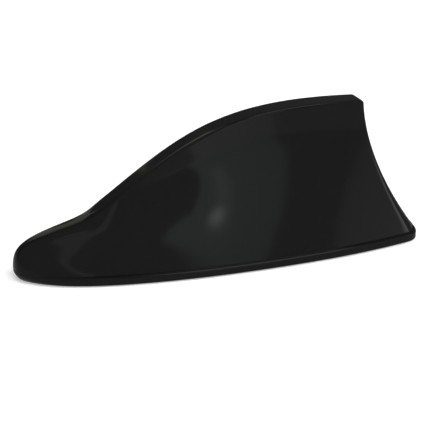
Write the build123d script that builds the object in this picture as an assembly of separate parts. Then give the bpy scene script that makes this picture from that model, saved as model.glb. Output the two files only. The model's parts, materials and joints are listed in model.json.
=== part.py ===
from build123d import *
import math
import os

# Shark fin aerial for a car roof, in millimetres. The nose points to -X, the tail to +X and +Z is up.
# The origin is on the roof, under the middle of the aerial.

# Outline of the foot, seen from above
LENGTH = 169.0
WIDTH = 59.6
NOSE_BLUNTNESS = 12.9
NOSE_TO_FRONT_HANDLE = 38.2
NOSE_TO_WIDEST = 117.5
TAIL_TO_REAR_HANDLE = 32.2
TAIL_TO_CORNER_HANDLE = 14.4
CORNER_HANDLE_HALF = 27.6
TAIL_WIDTH = 50.8
TAIL_CROWN_RADIUS = 80.0
TAIL_CORNER_RADIUS = 9.0

# Rim round the foot of the cover
RIM_BOTTOM = 0.5
RIM_HEIGHT = 3.4
RIM_STEP = 0.6
NOSE_STEP = 0.1
RIM_TOP_BEVEL = 0.35
RIM_BOTTOM_BEVEL = 0.35

# Spine of the fin, seen from the side: a domed nose, a ramp and a nearly level crest
NOSE_POLE_HEIGHT = 3.4
NOSE_RISE = 8.5
NOSE_TO_DOME = 20.1
DOME_HEIGHT = 19.8
DOME_ANGLE = 15.4
DOME_REACH = 19.4
KINK_REACH = 8.3
NOSE_TO_RAMP = 46.6
RAMP_HEIGHT = 33.0
RAMP_ANGLE = 33.7
RAMP_REACH_BELOW = 22.5
RAMP_REACH_ABOVE = 36.9
CREST_HEIGHT = 56.6
CREST_ANGLE = -4.8
CREST_REACH = 52.8

# Trailing edge, seen from the side
TAIL_TO_CREST = 20.9
TAIL_TO_BOW = 18.7
BOW_HEIGHT = 28.0

# Walls of the fin, seen from the front
CREST_WIDTH = 10.6
CREST_FULL_AT = 100.0
CREST_GROWTH = 0.26
CREST_ROUND = 1.3
SHOULDER_FLATS = 3
DOME_ROUND = 6.9
DOME_LEAN = 31.2
UPRIGHT_AT = 67.0
CREASE_STARTS_AT = 22.0
CREASE_FULL_AT = 39.3
FOOT_LEAN = 52.6
FOOT_LEAN_AT = 8.4
WALL_BULGE = 0.34
FOOT_DEPTH = 1.8
REAR_EDGE_BEVEL = 1.2

# How finely the fin is lofted, and how far cuts run past it
FIRST_STATION = 0.25
STATIONS = 15
OVERRUN = 8.0
TRIM_SLACK = 0.2
TAIL_SECTOR = 80.0

# Shell of the cover and its screw bosses
WALL = 2.4
LIP = 1.5
BOSS_RADIUS = 3.2
PILOT_SLACK = 0.05
PILOT_SPARE = 1.0
NOSE_TO_FRONT_SCREW = 24.5
NOSE_TO_SIDE_SCREWS = 88.5
TAIL_TO_REAR_SCREWS = 26.5
SCREW_INSET = 10.0

# Base plate, seal and foam tape
TAPE_THICKNESS = 1.1
TAPE_INSET = 3.5
TAPE_HOLE_SLACK = 0.8
FLANGE_THICKNESS = 1.3
STEP_THICKNESS = 0.9
EDGE_CLEARANCE = 0.2
SEAL_SLACK = 0.1

# Screws: thread radius, head radius, head height and length under the head
COVER_SCREW = (1.4, 2.5, 1.1, 7.0)
BOARD_SCREW = (0.9, 1.9, 1.1, 4.6)
CARRIER_SCREW = (1.1, 2.2, 1.2, 5.5)
HEAD_SLACK = 0.3
HOLE_SLACK = 0.2
HEAD_TAPER = 0.86
RECESS_WIDTH = 0.22
RECESS_DEPTH = 0.55

# Cable grommet
NOSE_TO_GROMMET = 34.5
CABLE_BORE_RADIUS = 2.2
GROMMET_RADIUS = 3.9
GROMMET_FLANGE = 1.3
GROMMET_LIP_BELOW = 0.8
GROMMET_LIP_ABOVE = 1.0
GROMMET_SLACK = 0.1

# Amplifier board on its standoffs, with the ground plate under it
NOSE_TO_BOARD = 56.5
BOARD_LENGTH = 62.0
BOARD_WIDTH = 22.0
BOARD_THICKNESS = 1.6
BOARD_CORNER = 1.5
STANDOFF_RADIUS = 2.4
STANDOFF_HEIGHT = 4.0
STANDOFF_EDGE = 2.8
STANDOFF_FROM_FRONT = 13.0
STANDOFF_FROM_REAR = 3.0
GROUND_THICKNESS = 0.5
GROUND_WIDTH = 20.0
GROUND_SHORTER = 2.0
GROUND_HOLE_SLACK = 0.5
GROUND_TAB = (4.0, 0.5)

# Parts on the board
BOARD_TO_CAN = 15.0
CAN_LENGTH = 18.0
CAN_WIDTH = 14.0
CAN_HEIGHT = 5.0
CAN_SHEET = 0.3
CAN_VENT = (1.2, 5.0)
CAN_VENT_PITCH = 4.0
CHIP = (5.0, 4.0, 1.4)
CHIP_STAND = 0.15
LEAD = (0.4, 1.0, 0.2)
LEAD_PITCH = 1.27
LEADS_PER_SIDE = 4
CAPACITOR_RADIUS = 2.5
CAPACITOR_HEIGHT = 5.8
CAPACITOR_BASE = (5.4, 0.8)
CAPACITOR_AT = (10.2, -2.6)
CHOKE_RADIUS = 3.0
CHOKE_HEIGHT = 4.6
CHOKE_WAIST = 2.0
CHOKE_FLANGE = 1.0
CHOKE_AT = (4.0, -6.5)
CHIP_CAPACITOR = (2.0, 1.25, 0.9)
CHIP_RESISTOR = (1.6, 0.8, 0.5)
CHIPS_PER_ROW = 5
CHIP_ROW_PITCH = 3.3
CHIP_ROWS_FROM_REAR = 3.0
CHIP_ROW_Y = 4.0

# Coaxial socket at the front of the board
SOCKET_BLOCK = (6.0, 5.0, 6.0)
SOCKET_Y = 5.8
SOCKET_RADIUS = 2.4
SOCKET_BORE = 1.8
SOCKET_LENGTH = 7.0
INSULATOR_LENGTH = 6.0
INSULATOR_SLACK = 0.05
PIN_RADIUS = 0.5
PIN_LENGTH = 9.0
PIN_PROUD = 3.5

# Upright carrier of the radiator, with its two feet
CARRIER_THICKNESS = 2.0
CARRIER_TOP_INSET = 8.1
CARRIER_BOTTOM = 15.0
CARRIER_SILL = 2.5
LEG_WIDTH = 6.0
LEG_TO_BOARD = 2.0
REAR_LEG_TO_BOARD = 6.0
FOOT_LENGTH = 13.0
FOOT_WIDTH = 6.0
FOOT_THICKNESS = 2.0
FOOT_SCREW_FROM_END = 3.0
CARRIER_BOSS_RADIUS = 2.7
CARRIER_BOSS_HEIGHT = 4.7
CARRIER_OVERHANG = 6.0
NECK_WIDTH = 8.0
BOARD_TO_NECK = 40.0
WINDOW_WIDTH = 10.0
WINDOW_HEIGHT = 16.0
WINDOW_STRUT = 3.0
WINDOWS_PER_SIDE = 2

# Radiator coil, top load plate and contact clip
WIRE_SIZE = 0.9
COIL_SLACK = 0.2
COIL_PITCH = 2.4
COIL_TURNS = 6
COIL_ABOVE_SILL = 0.8
PLATE_THICKNESS = 0.4
PLATE_SLACK = 0.1
PLATE_DEPTH = 11.0
PLATE_FRONT_FROM_NECK = 20.0
PLATE_REAR_FROM_NECK = 38.0
SOLDER_TAB_WIDTH = 3.0
CLIP_THICKNESS = 0.3
CLIP_WIDTH = 3.0
CLIP_FOOT = 3.2
CLIP_LEAN = 1.2
CLIP_ABOVE_SILL = 2.6
CLIP_SLACK = 0.1
CLIP_BEND = 0.6

# Values that follow from the driving sizes
NOSE_X = -LENGTH / 2
TAIL_X = LENGTH / 2
RIM_TOP = RIM_BOTTOM + RIM_HEIGHT
FOOT_Z = RIM_TOP - FOOT_DEPTH
FLANGE_TOP = TAPE_THICKNESS + FLANGE_THICKNESS
BASE_TOP = FLANGE_TOP + STEP_THICKNESS
CAVITY_INSET = RIM_STEP + WALL
BOARD_X = NOSE_X + NOSE_TO_BOARD
BOARD_END = BOARD_X + BOARD_LENGTH
BOARD_BOTTOM = BASE_TOP + STANDOFF_HEIGHT
BOARD_TOP = BOARD_BOTTOM + BOARD_THICKNESS
SOCKET_Z = BOARD_TOP + SOCKET_BLOCK[2] / 2
GROMMET_X = NOSE_X + NOSE_TO_GROMMET
CAN_X = BOARD_X + BOARD_TO_CAN + CAN_LENGTH / 2
NECK_X = BOARD_X + BOARD_TO_NECK
FRONT_LEG_X = BOARD_X - LEG_TO_BOARD - LEG_WIDTH
REAR_LEG_X = BOARD_END + REAR_LEG_TO_BOARD
CARRIER_FOOT_Z = BASE_TOP + CARRIER_BOSS_HEIGHT
SILL_TOP = CARRIER_BOTTOM + CARRIER_SILL
COIL_Z = SILL_TOP + COIL_ABOVE_SILL
COIL_TOP = COIL_Z + COIL_PITCH * COIL_TURNS
COIL_HALF = CARRIER_THICKNESS / 2 + COIL_SLACK + WIRE_SIZE / 2
COIL_SIDE = COIL_HALF + WIRE_SIZE / 2
PLATE_INSET = CARRIER_TOP_INSET - PLATE_SLACK - PLATE_THICKNESS
PLATE_INNER_HALF = CARRIER_THICKNESS / 2 + PLATE_SLACK
STAND = (Align.CENTER, Align.CENTER, Align.MIN)
HANG = (Align.CENTER, Align.CENTER, Align.MAX)


def polar(point, length, angle):
    """The point at a length and an angle in degrees from another point."""
    turn = math.radians(angle)
    return (point[0] + length * math.cos(turn), point[1] + length * math.sin(turn))


def ease(share):
    """A smooth step from 0 to 1."""
    held = min(max(share, 0.0), 1.0)
    return held * held * (3 - 2 * held)


def value_at(curves, x):
    """The height of a chain of curves at x, carried on straight past its end."""
    end = curves[-1] @ 1
    if x >= end.X:
        slope = curves[-1] % 1
        return end.Y + (x - end.X) * slope.Y / slope.X
    curve = next(c for c in curves if x <= (c @ 1).X)
    low, high = 0.0, 1.0
    for _ in range(50):
        middle = (low + high) / 2
        if (curve @ middle).X < x:
            low = middle
        else:
            high = middle
    return (curve @ low).Y


def crown_sag(half):
    """How far the bowed tail falls forward at a distance from the middle."""
    return TAIL_CROWN_RADIUS - math.sqrt(TAIL_CROWN_RADIUS**2 - half**2)


def plan_curves(inset, ahead=0.0):
    """Front and rear curves of half the foot's outline, moved inwards, with the nose left further ahead."""
    nose = NOSE_X + inset - ahead
    half = WIDTH / 2 - inset
    blunt = NOSE_BLUNTNESS * half / (WIDTH / 2)
    tail_half = TAIL_WIDTH / 2 - inset
    tail = TAIL_X - inset - crown_sag(tail_half)
    widest = (NOSE_X + NOSE_TO_WIDEST, half)
    front = Bezier((nose, 0), (nose, blunt), (NOSE_X + NOSE_TO_FRONT_HANDLE, half), widest)
    rear = Bezier(
        widest,
        (TAIL_X - TAIL_TO_REAR_HANDLE, half),
        (TAIL_X - TAIL_TO_CORNER_HANDLE, CORNER_HANDLE_HALF - inset),
        (tail, tail_half),
    )
    return [front, rear]


def spine_curves(inset):
    """Dome, ramp and crest of the spine in its side view, moved inwards."""
    pole = (NOSE_X + NOSE_STEP + inset, NOSE_POLE_HEIGHT)
    dome = polar((NOSE_X + NOSE_TO_DOME, DOME_HEIGHT), inset, DOME_ANGLE - 90)
    ramp = polar((NOSE_X + NOSE_TO_RAMP, RAMP_HEIGHT), inset, RAMP_ANGLE - 90)
    crest = polar((TAIL_X - TAIL_TO_CREST, CREST_HEIGHT), inset, CREST_ANGLE - 90)
    onto_dome = polar(dome, -DOME_REACH, DOME_ANGLE)
    off_dome = polar(dome, KINK_REACH, DOME_ANGLE)
    onto_ramp = polar(ramp, -RAMP_REACH_BELOW, RAMP_ANGLE)
    off_ramp = polar(ramp, RAMP_REACH_ABOVE, RAMP_ANGLE)
    onto_crest = polar(crest, -CREST_REACH, CREST_ANGLE)
    return [
        Bezier(pole, (pole[0], pole[1] + NOSE_RISE), onto_dome, dome),
        Bezier(dome, off_dome, onto_ramp, ramp),
        Bezier(ramp, off_ramp, onto_crest, crest),
    ]


def fin_section(distance, inset, plan, spine):
    """Closed outline across the fin at a distance behind its nose: foot, walls, shoulders and crest.
    The shoulders are softened by a few flats on the outside, and are plain corners when moved inwards."""
    x = NOSE_X + NOSE_STEP + inset + distance
    half = value_at(plan, x)
    top = value_at(spine, x)
    crest = CREST_WIDTH / 2 * min(1.0, (distance / CREST_FULL_AT) ** CREST_GROWTH)
    crest = min(max(crest - inset, crest / 3), 0.55 * half)
    crease = ease((distance - CREASE_STARTS_AT) / (CREASE_FULL_AT - CREASE_STARTS_AT))
    lean = math.radians(DOME_LEAN + (90 - DOME_LEAN) * ease(distance / UPRIGHT_AT))
    rise = math.radians(FOOT_LEAN + (90 - FOOT_LEAN) * math.exp(-distance / FOOT_LEAN_AT))
    rounding = 0.0 if inset else min(DOME_ROUND + (CREST_ROUND - DOME_ROUND) * crease, 0.9 * crest)
    down = (math.cos(lean), -math.sin(lean))
    foot = (half, FOOT_Z)
    shoulder = (crest + rounding * down[0], top + rounding * down[1])
    reach = WALL_BULGE * math.dist(foot, shoulder)
    rising = (half - reach * math.cos(rise), FOOT_Z + reach * math.sin(rise))
    falling = (shoulder[0] + reach * down[0], shoulder[1] + reach * down[1])
    flat = crest - rounding

    def bend(share):
        start, corner, end = (1 - share) ** 2, 2 * share * (1 - share), share**2
        across = start * shoulder[0] + corner * crest + end * flat
        return (across, start * shoulder[1] + (corner + end) * top)

    def side(sign):
        edges = [Bezier(*[(x, sign * y, z) for y, z in (foot, rising, falling, shoulder)])]
        if rounding:
            points = [bend(count / SHOULDER_FLATS) for count in range(SHOULDER_FLATS + 1)]
            edges += Polyline(*[(x, sign * y, z) for y, z in points]).edges()
        return edges

    bottom = Line((x, -half, FOOT_Z), (x, half, FOOT_Z))
    crown = Line((x, flat, top), (x, -flat, top))
    return Wire([bottom, *side(1), crown, *side(-1)])


def tail_cutter(inset):
    """Everything behind the bowed, raked tail face: the trailing edge turned about an upright axis."""
    axis_x = TAIL_X - TAIL_CROWN_RADIUS
    low = (TAIL_X - RIM_STEP - inset - axis_x, RIM_TOP)
    bow = (TAIL_X - TAIL_TO_BOW - inset - axis_x, BOW_HEIGHT)
    high = (TAIL_X - TAIL_TO_CREST - inset - axis_x, CREST_HEIGHT)
    edge = Bezier(low, bow, high)
    last = edge % 1
    far = TAIL_CROWN_RADIUS + 2 * OVERRUN
    over = (high[0] + CREST_HEIGHT * last.X / last.Y, 2 * CREST_HEIGHT)
    outline = [Line((low[0], 0), low), edge, Line(high, over)]
    outline += [Line(over, (far, over[1])), Line((far, over[1]), (far, 0)), Line((far, 0), (low[0], 0))]
    turn = math.radians(TAIL_SECTOR / 2)
    start = Plane((axis_x, 0, 0), (math.cos(turn), -math.sin(turn), 0), (-math.sin(turn), -math.cos(turn), 0))
    return revolve(start * Face(Wire(outline)), Axis((axis_x, 0, 0), (0, 0, 1)), TAIL_SECTOR)


def plan_prism(inset, low, high, ahead=0.0):
    """The foot's outline, moved inwards and raised between two heights, with its rounded tail corners."""
    front, rear = plan_curves(inset, ahead)
    corner = rear @ 1
    tail = ThreePointArc((corner.X, corner.Y), (TAIL_X - inset, 0), (corner.X, -corner.Y))
    outline = Wire([front, rear, tail, rear.mirror(Plane.XZ), front.mirror(Plane.XZ)])
    solid = extrude(Pos(0, 0, low) * Face(outline), high - low, dir=(0, 0, 1))
    corners = [e for e in solid.edges().filter_by(Axis.Z) if e.center().X > 0]
    sharp = [e for e in corners if abs(abs(e.center().Y) - corner.Y) < 0.01]
    return fillet(sharp, max(TAIL_CORNER_RADIUS - inset, 1.0))


def fin_body(inset):
    """The fin above its rim, moved inwards: sections lofted from the nose and cut to the tail."""
    ahead = RIM_STEP - NOSE_STEP
    plan = plan_curves(RIM_STEP + inset, ahead)
    spine = spine_curves(inset)
    reach = LENGTH + OVERRUN - FIRST_STATION
    sections = []
    for count in range(STATIONS + 1):
        distance = FIRST_STATION + reach * (count / STATIONS) ** 2
        sections.append(fin_section(distance, inset, plan, spine))
    body = Solid.make_loft(sections)
    foot = plan_prism(RIM_STEP + inset - TRIM_SLACK, 0, 2 * CREST_HEIGHT, ahead)
    return (body & foot) - tail_cutter(inset)


def softened_tail(fin):
    """The fin with the two long edges between its tail face and its walls bevelled."""
    tail = max(fin.faces().filter_by(GeomType.REVOLUTION), key=lambda face: face.area)
    upright = [edge for edge in tail.edges() if edge.center().Z > RIM_TOP + RIM_HEIGHT]
    return chamfer([edge for edge in upright if edge.length > CREST_WIDTH], REAR_EDGE_BEVEL)


def spine_sheet(inset, thickness):
    """An upright sheet in the middle of the fin, below the spine and ahead of the tail by an inset."""
    spine = spine_curves(inset)
    first = spine[0] @ 0
    last = spine[-1] @ 1
    rest = Polyline((last.X, last.Y), (last.X, 0), (first.X, 0), (first.X, first.Y))
    face = Plane.XZ * Face(Wire([*spine, *rest.edges()]))
    return extrude(face, thickness / 2, both=True) - tail_cutter(inset)


def post(radius, low, high, x, y):
    """An upright cylinder between two heights."""
    return Pos(x, y, low) * Cylinder(radius, high - low, align=STAND)


def block(size, x, y, low):
    """A box of a length, width and height that stands at a height."""
    return Pos(x, y, low) * Box(*size, align=STAND)


def span(x_low, x_high, y_half, low, high):
    """A box between two x values and two heights, even about the middle."""
    return block((x_high - x_low, 2 * y_half, high - low), (x_low + x_high) / 2, 0, low)


def cover_screw_places():
    """Where the cover screws stand: one behind the nose, two pairs near the edges."""
    side_x = NOSE_X + NOSE_TO_SIDE_SCREWS
    rear_x = TAIL_X - TAIL_TO_REAR_SCREWS
    outline = plan_curves(SCREW_INSET)
    places = [(NOSE_X + NOSE_TO_FRONT_SCREW, 0)]
    for x in (side_x, rear_x):
        y = value_at(outline, x)
        places += [(x, y), (x, -y)]
    return places


def board_screw_places():
    """Where the board is screwed to its standoffs."""
    y = BOARD_WIDTH / 2 - STANDOFF_EDGE
    front = BOARD_X + STANDOFF_FROM_FRONT
    rear = BOARD_END - STANDOFF_FROM_REAR
    return [(x, side * y) for x in (front, rear) for side in (1, -1)]


def carrier_feet():
    """Start and end in x of the carrier's two feet, and where each is screwed down."""
    front = (FRONT_LEG_X + LEG_WIDTH - FOOT_LENGTH, FRONT_LEG_X + LEG_WIDTH)
    rear = (REAR_LEG_X, REAR_LEG_X + FOOT_LENGTH)
    return [(*front, front[0] + FOOT_SCREW_FROM_END), (*rear, rear[1] - FOOT_SCREW_FROM_END)]


def screw(size):
    """A pan head screw that points up, with the underside of its head at zero and a cross recess."""
    radius, head_radius, head_height, length = size
    head = Cone(HEAD_TAPER * head_radius, head_radius, head_height, align=HANG)
    shank = Cylinder(radius, length, align=STAND)
    arm = (2 * head_radius * RECESS_DEPTH, 2 * head_radius * RECESS_WIDTH, head_height * RECESS_DEPTH)
    recess = Box(*arm, align=STAND) + Rot(0, 0, 90) * Box(*arm, align=STAND)
    return head + shank - Pos(0, 0, -head_height) * recess


def fin_cover():
    """The moulded cover: fin and rim, hollowed, with bosses for its screws and a seat for the base."""
    rim = plan_prism(0, RIM_BOTTOM, RIM_TOP)
    rim = chamfer(rim.faces().sort_by(Axis.Z)[-1].edges(), RIM_TOP_BEVEL)
    rim = chamfer(rim.faces().sort_by(Axis.Z)[0].edges(), RIM_BOTTOM_BEVEL)
    hollow = fin_body(WALL)
    pilots = []
    for x, y in cover_screw_places():
        hollow -= post(BOSS_RADIUS, 0, 2 * CREST_HEIGHT, x, y)
        depth = COVER_SCREW[3] + PILOT_SPARE
        pilots.append(post(COVER_SCREW[0] + PILOT_SLACK, FLANGE_TOP, FLANGE_TOP + depth, x, y))
    seat = plan_prism(LIP, 0, BASE_TOP)
    return softened_tail(fin_body(0)) + rim - hollow - seat - pilots


def base_plate():
    """The moulded plate that closes the cover, with standoffs, carrier bosses and holes."""
    flange = plan_prism(LIP + EDGE_CLEARANCE, TAPE_THICKNESS, FLANGE_TOP)
    plate = flange + plan_prism(CAVITY_INSET + EDGE_CLEARANCE, FLANGE_TOP, BASE_TOP)
    board_depth = BOARD_SCREW[3] - BOARD_THICKNESS + PILOT_SPARE / 2
    for x, y in board_screw_places():
        plate += post(STANDOFF_RADIUS, BASE_TOP, BOARD_BOTTOM, x, y)
        plate -= post(BOARD_SCREW[0] + PILOT_SLACK, BOARD_BOTTOM - board_depth, BOARD_BOTTOM, x, y)
    foot_depth = CARRIER_SCREW[3] - FOOT_THICKNESS + PILOT_SPARE / 2
    for _, _, x in carrier_feet():
        plate += post(CARRIER_BOSS_RADIUS, BASE_TOP, CARRIER_FOOT_Z, x, 0)
        plate -= post(CARRIER_SCREW[0] + PILOT_SLACK, CARRIER_FOOT_Z - foot_depth, CARRIER_FOOT_Z, x, 0)
    for x, y in cover_screw_places():
        plate -= post(COVER_SCREW[0] + HOLE_SLACK, 0, BASE_TOP, x, y)
        plate -= post(COVER_SCREW[1] + HEAD_SLACK, 0, FLANGE_TOP, x, y)
    return plate - post(GROMMET_RADIUS + GROMMET_SLACK, 0, BASE_TOP, GROMMET_X, 0)


def cover_seal():
    """The rubber ring squeezed between the cover's shoulder and the base plate's flange."""
    outer = plan_prism(LIP + EDGE_CLEARANCE, FLANGE_TOP, BASE_TOP)
    return outer - plan_prism(CAVITY_INSET - SEAL_SLACK, 0, RIM_TOP)


def foam_tape():
    """The double-sided foam pad that sticks the base to the roof, punched at the screws and the grommet."""
    pad = plan_prism(TAPE_INSET, 0, TAPE_THICKNESS)
    for x, y in cover_screw_places():
        pad -= post(COVER_SCREW[1] + TAPE_HOLE_SLACK, 0, TAPE_THICKNESS, x, y)
    flange = GROMMET_RADIUS + GROMMET_FLANGE
    return pad - post(flange + TAPE_HOLE_SLACK, 0, TAPE_THICKNESS, GROMMET_X, 0)


def cable_grommet():
    """The rubber grommet that lines the cable hole, with a lip on each side of the base plate."""
    flange = GROMMET_RADIUS + GROMMET_FLANGE
    low = TAPE_THICKNESS - GROMMET_LIP_BELOW
    high = BASE_TOP + GROMMET_LIP_ABOVE
    body = post(GROMMET_RADIUS, low, high, GROMMET_X, 0)
    below = post(flange, low, TAPE_THICKNESS, GROMMET_X, 0)
    above = post(flange, BASE_TOP, high, GROMMET_X, 0)
    above = chamfer(above.edges().sort_by(Axis.Z)[-1], GROMMET_LIP_ABOVE / 2)
    return body + below + above - post(CABLE_BORE_RADIUS, 0, high, GROMMET_X, 0)


def cover_screws():
    """Five screws through the base plate into the cover."""
    return [Pos(x, y, FLANGE_TOP) * screw(COVER_SCREW) for x, y in cover_screw_places()]


def ground_plate():
    """The stamped sheet on the base plate, with tabs turned up to the board."""
    half = GROUND_WIDTH / 2
    top = BASE_TOP + GROUND_THICKNESS
    sheet = span(BOARD_X + GROUND_SHORTER, BOARD_END - GROUND_SHORTER, half, BASE_TOP, top)
    for x, y in board_screw_places():
        sheet -= post(STANDOFF_RADIUS + GROUND_HOLE_SLACK, BASE_TOP, top, x, y)
    tab = (GROUND_TAB[0], GROUND_TAB[1], BOARD_BOTTOM - BASE_TOP)
    for side in (1, -1):
        sheet += block(tab, CAN_X, side * (half - GROUND_TAB[1] / 2), BASE_TOP)
    return sheet


def amplifier_board():
    """The circuit board with its screw holes."""
    board = span(BOARD_X, BOARD_END, BOARD_WIDTH / 2, BOARD_BOTTOM, BOARD_TOP)
    board = fillet(board.edges().filter_by(Axis.Z), BOARD_CORNER)
    for x, y in board_screw_places():
        board -= post(BOARD_SCREW[0] + HOLE_SLACK, BOARD_BOTTOM, BOARD_TOP, x, y)
    return board


def board_screws():
    """Four screws through the board into the standoffs."""
    return [Pos(x, y, BOARD_TOP) * Rot(180, 0, 0) * screw(BOARD_SCREW) for x, y in board_screw_places()]


def shield_can():
    """The folded can over the amplifier chip, vented by a row of slots."""
    can = block((CAN_LENGTH, CAN_WIDTH, CAN_HEIGHT), CAN_X, 0, BOARD_TOP)
    can = fillet(can.edges().filter_by(Axis.Z), 2 * CAN_SHEET)
    inside = (CAN_LENGTH - 2 * CAN_SHEET, CAN_WIDTH - 2 * CAN_SHEET, CAN_HEIGHT - CAN_SHEET)
    room = block(inside, CAN_X, 0, BOARD_TOP)
    can -= fillet(room.edges().filter_by(Axis.Z), CAN_SHEET)
    for step in (-1, 0, 1):
        x = CAN_X + step * CAN_VENT_PITCH
        can -= block((*CAN_VENT, CAN_HEIGHT), x, 0, BOARD_TOP)
    return can


def amplifier_chip():
    """The amplifier in its moulded case, with a row of leads down each side."""
    chip = block(CHIP, CAN_X, 0, BOARD_TOP + CHIP_STAND)
    reach = CHIP[1] / 2 + LEAD[1]
    rise = CHIP_STAND + CHIP[2] / 2
    for count in range(LEADS_PER_SIDE):
        x = CAN_X + (count - (LEADS_PER_SIDE - 1) / 2) * LEAD_PITCH
        for side in (1, -1):
            sole = (LEAD[0], LEAD[1] / 2, LEAD[2])
            drop = (LEAD[0], LEAD[2], rise)
            arm = (LEAD[0], LEAD[1] / 2 + LEAD[2], LEAD[2])
            knee = side * (reach - LEAD[1] / 2)
            chip += block(sole, x, side * (reach - LEAD[1] / 4), BOARD_TOP)
            chip += block(drop, x, knee, BOARD_TOP)
            chip += block(arm, x, knee - side * LEAD[1] / 4, BOARD_TOP + rise - LEAD[2])
    return chip


def smoothing_capacitor():
    """The can capacitor on its square base."""
    x = BOARD_X + CAPACITOR_AT[0]
    y = CAPACITOR_AT[1]
    side, height = CAPACITOR_BASE
    base = block((side, side, height), x, y, BOARD_TOP)
    base = chamfer(base.edges().filter_by(Axis.Z).sort_by(Axis.X)[-2:], side / 5)
    can = post(CAPACITOR_RADIUS, BOARD_TOP + height, BOARD_TOP + CAPACITOR_HEIGHT, x, y)
    return base + chamfer(can.edges().sort_by(Axis.Z)[-1], CAPACITOR_RADIUS / 8)


def supply_choke():
    """The drum choke: a bobbin with its winding as a waist between two flanges."""
    x = BOARD_X + CHOKE_AT[0]
    y = CHOKE_AT[1]
    top = BOARD_TOP + CHOKE_HEIGHT
    drum = post(CHOKE_WAIST, BOARD_TOP, top, x, y)
    drum += post(CHOKE_RADIUS, BOARD_TOP, BOARD_TOP + CHOKE_FLANGE, x, y)
    return drum + post(CHOKE_RADIUS, top - CHOKE_FLANGE, top, x, y)


def chip_row(size, y):
    """A row of like chips near the rear of the board."""
    rear = BOARD_END - CHIP_ROWS_FROM_REAR
    return [block(size, rear - count * CHIP_ROW_PITCH, y, BOARD_TOP) for count in range(CHIPS_PER_ROW)]


def rod(radius, start, end, axis):
    """A cylinder along the socket's axis between two x values."""
    along = Cylinder(radius, end - start, rotation=(0, 90, 0))
    return Pos((start + end) / 2, SOCKET_Y, axis) * along


def coax_socket():
    """The metal socket at the front of the board: a block with a barrel to the front."""
    body = block(SOCKET_BLOCK, BOARD_X + SOCKET_BLOCK[0] / 2, SOCKET_Y, BOARD_TOP)
    front = BOARD_X - SOCKET_LENGTH
    barrel = rod(SOCKET_RADIUS, front, BOARD_X, SOCKET_Z)
    return body + barrel - rod(SOCKET_BORE, front, BOARD_X + INSULATOR_LENGTH / 2, SOCKET_Z)


def socket_insulator():
    """The insulating plug in the socket that holds the pin."""
    end = BOARD_X + INSULATOR_LENGTH / 2
    plug = rod(SOCKET_BORE - INSULATOR_SLACK, end - INSULATOR_LENGTH, end, SOCKET_Z)
    return plug - rod(PIN_RADIUS + INSULATOR_SLACK, end - INSULATOR_LENGTH, end, SOCKET_Z)


def socket_pin():
    """The socket's centre pin with its chamfered tip."""
    start = BOARD_X - INSULATOR_LENGTH / 2 - PIN_PROUD
    pin = rod(PIN_RADIUS, start, start + PIN_LENGTH, SOCKET_Z)
    return chamfer(pin.edges().sort_by(Axis.X)[0], PIN_RADIUS / 2)


def antenna_carrier():
    """The upright frame under the spine: a windowed plate on two screwed feet, with a neck for the coil."""
    rear = REAR_LEG_X + LEG_WIDTH + CARRIER_OVERHANG
    half = CARRIER_THICKNESS / 2
    plate = span(FRONT_LEG_X, rear, half, CARRIER_BOTTOM, 2 * CREST_HEIGHT)
    for leg in (FRONT_LEG_X, REAR_LEG_X):
        plate += span(leg, leg + LEG_WIDTH, half, CARRIER_FOOT_Z, CARRIER_BOTTOM)
    plate = spine_sheet(CARRIER_TOP_INSET, CARRIER_THICKNESS) & plate
    for count in range(WINDOWS_PER_SIDE):
        near = NECK_WIDTH / 2 + count * (WINDOW_WIDTH + WINDOW_STRUT)
        for side in (1, -1):
            x = NECK_X + side * (near + WINDOW_WIDTH / 2)
            plate -= block((WINDOW_WIDTH, CARRIER_THICKNESS, WINDOW_HEIGHT), x, 0, SILL_TOP)
    for start, end, place in carrier_feet():
        foot = span(start, end, FOOT_WIDTH / 2, CARRIER_FOOT_Z, CARRIER_FOOT_Z + FOOT_THICKNESS)
        plate += foot - post(CARRIER_SCREW[0] + HOLE_SLACK, 0, CARRIER_BOTTOM, place, 0)
    return plate


def carrier_screws():
    """Two screws that hold the carrier's feet."""
    top = CARRIER_FOOT_Z + FOOT_THICKNESS
    return [Pos(x, 0, top) * Rot(180, 0, 0) * screw(CARRIER_SCREW) for _, _, x in carrier_feet()]


def radiator_coil():
    """The square wire wound round the flat neck of the carrier, in straight runs with sharp bends."""
    across = NECK_WIDTH / 2 + COIL_SLACK + WIRE_SIZE / 2
    corners = [(-across, -COIL_HALF), (across, -COIL_HALF), (across, COIL_HALF), (-across, COIL_HALF)]
    points = []
    for count in range(4 * COIL_TURNS + 1):
        x, y = corners[count % 4]
        points.append((NECK_X + x, y, COIL_Z + count * COIL_PITCH / 4))
    path = Polyline(*points)
    section = Plane(path @ 0, z_dir=path % 0) * Rectangle(WIRE_SIZE, WIRE_SIZE)
    return sweep(section, path, transition=Transition.RIGHT)


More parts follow.
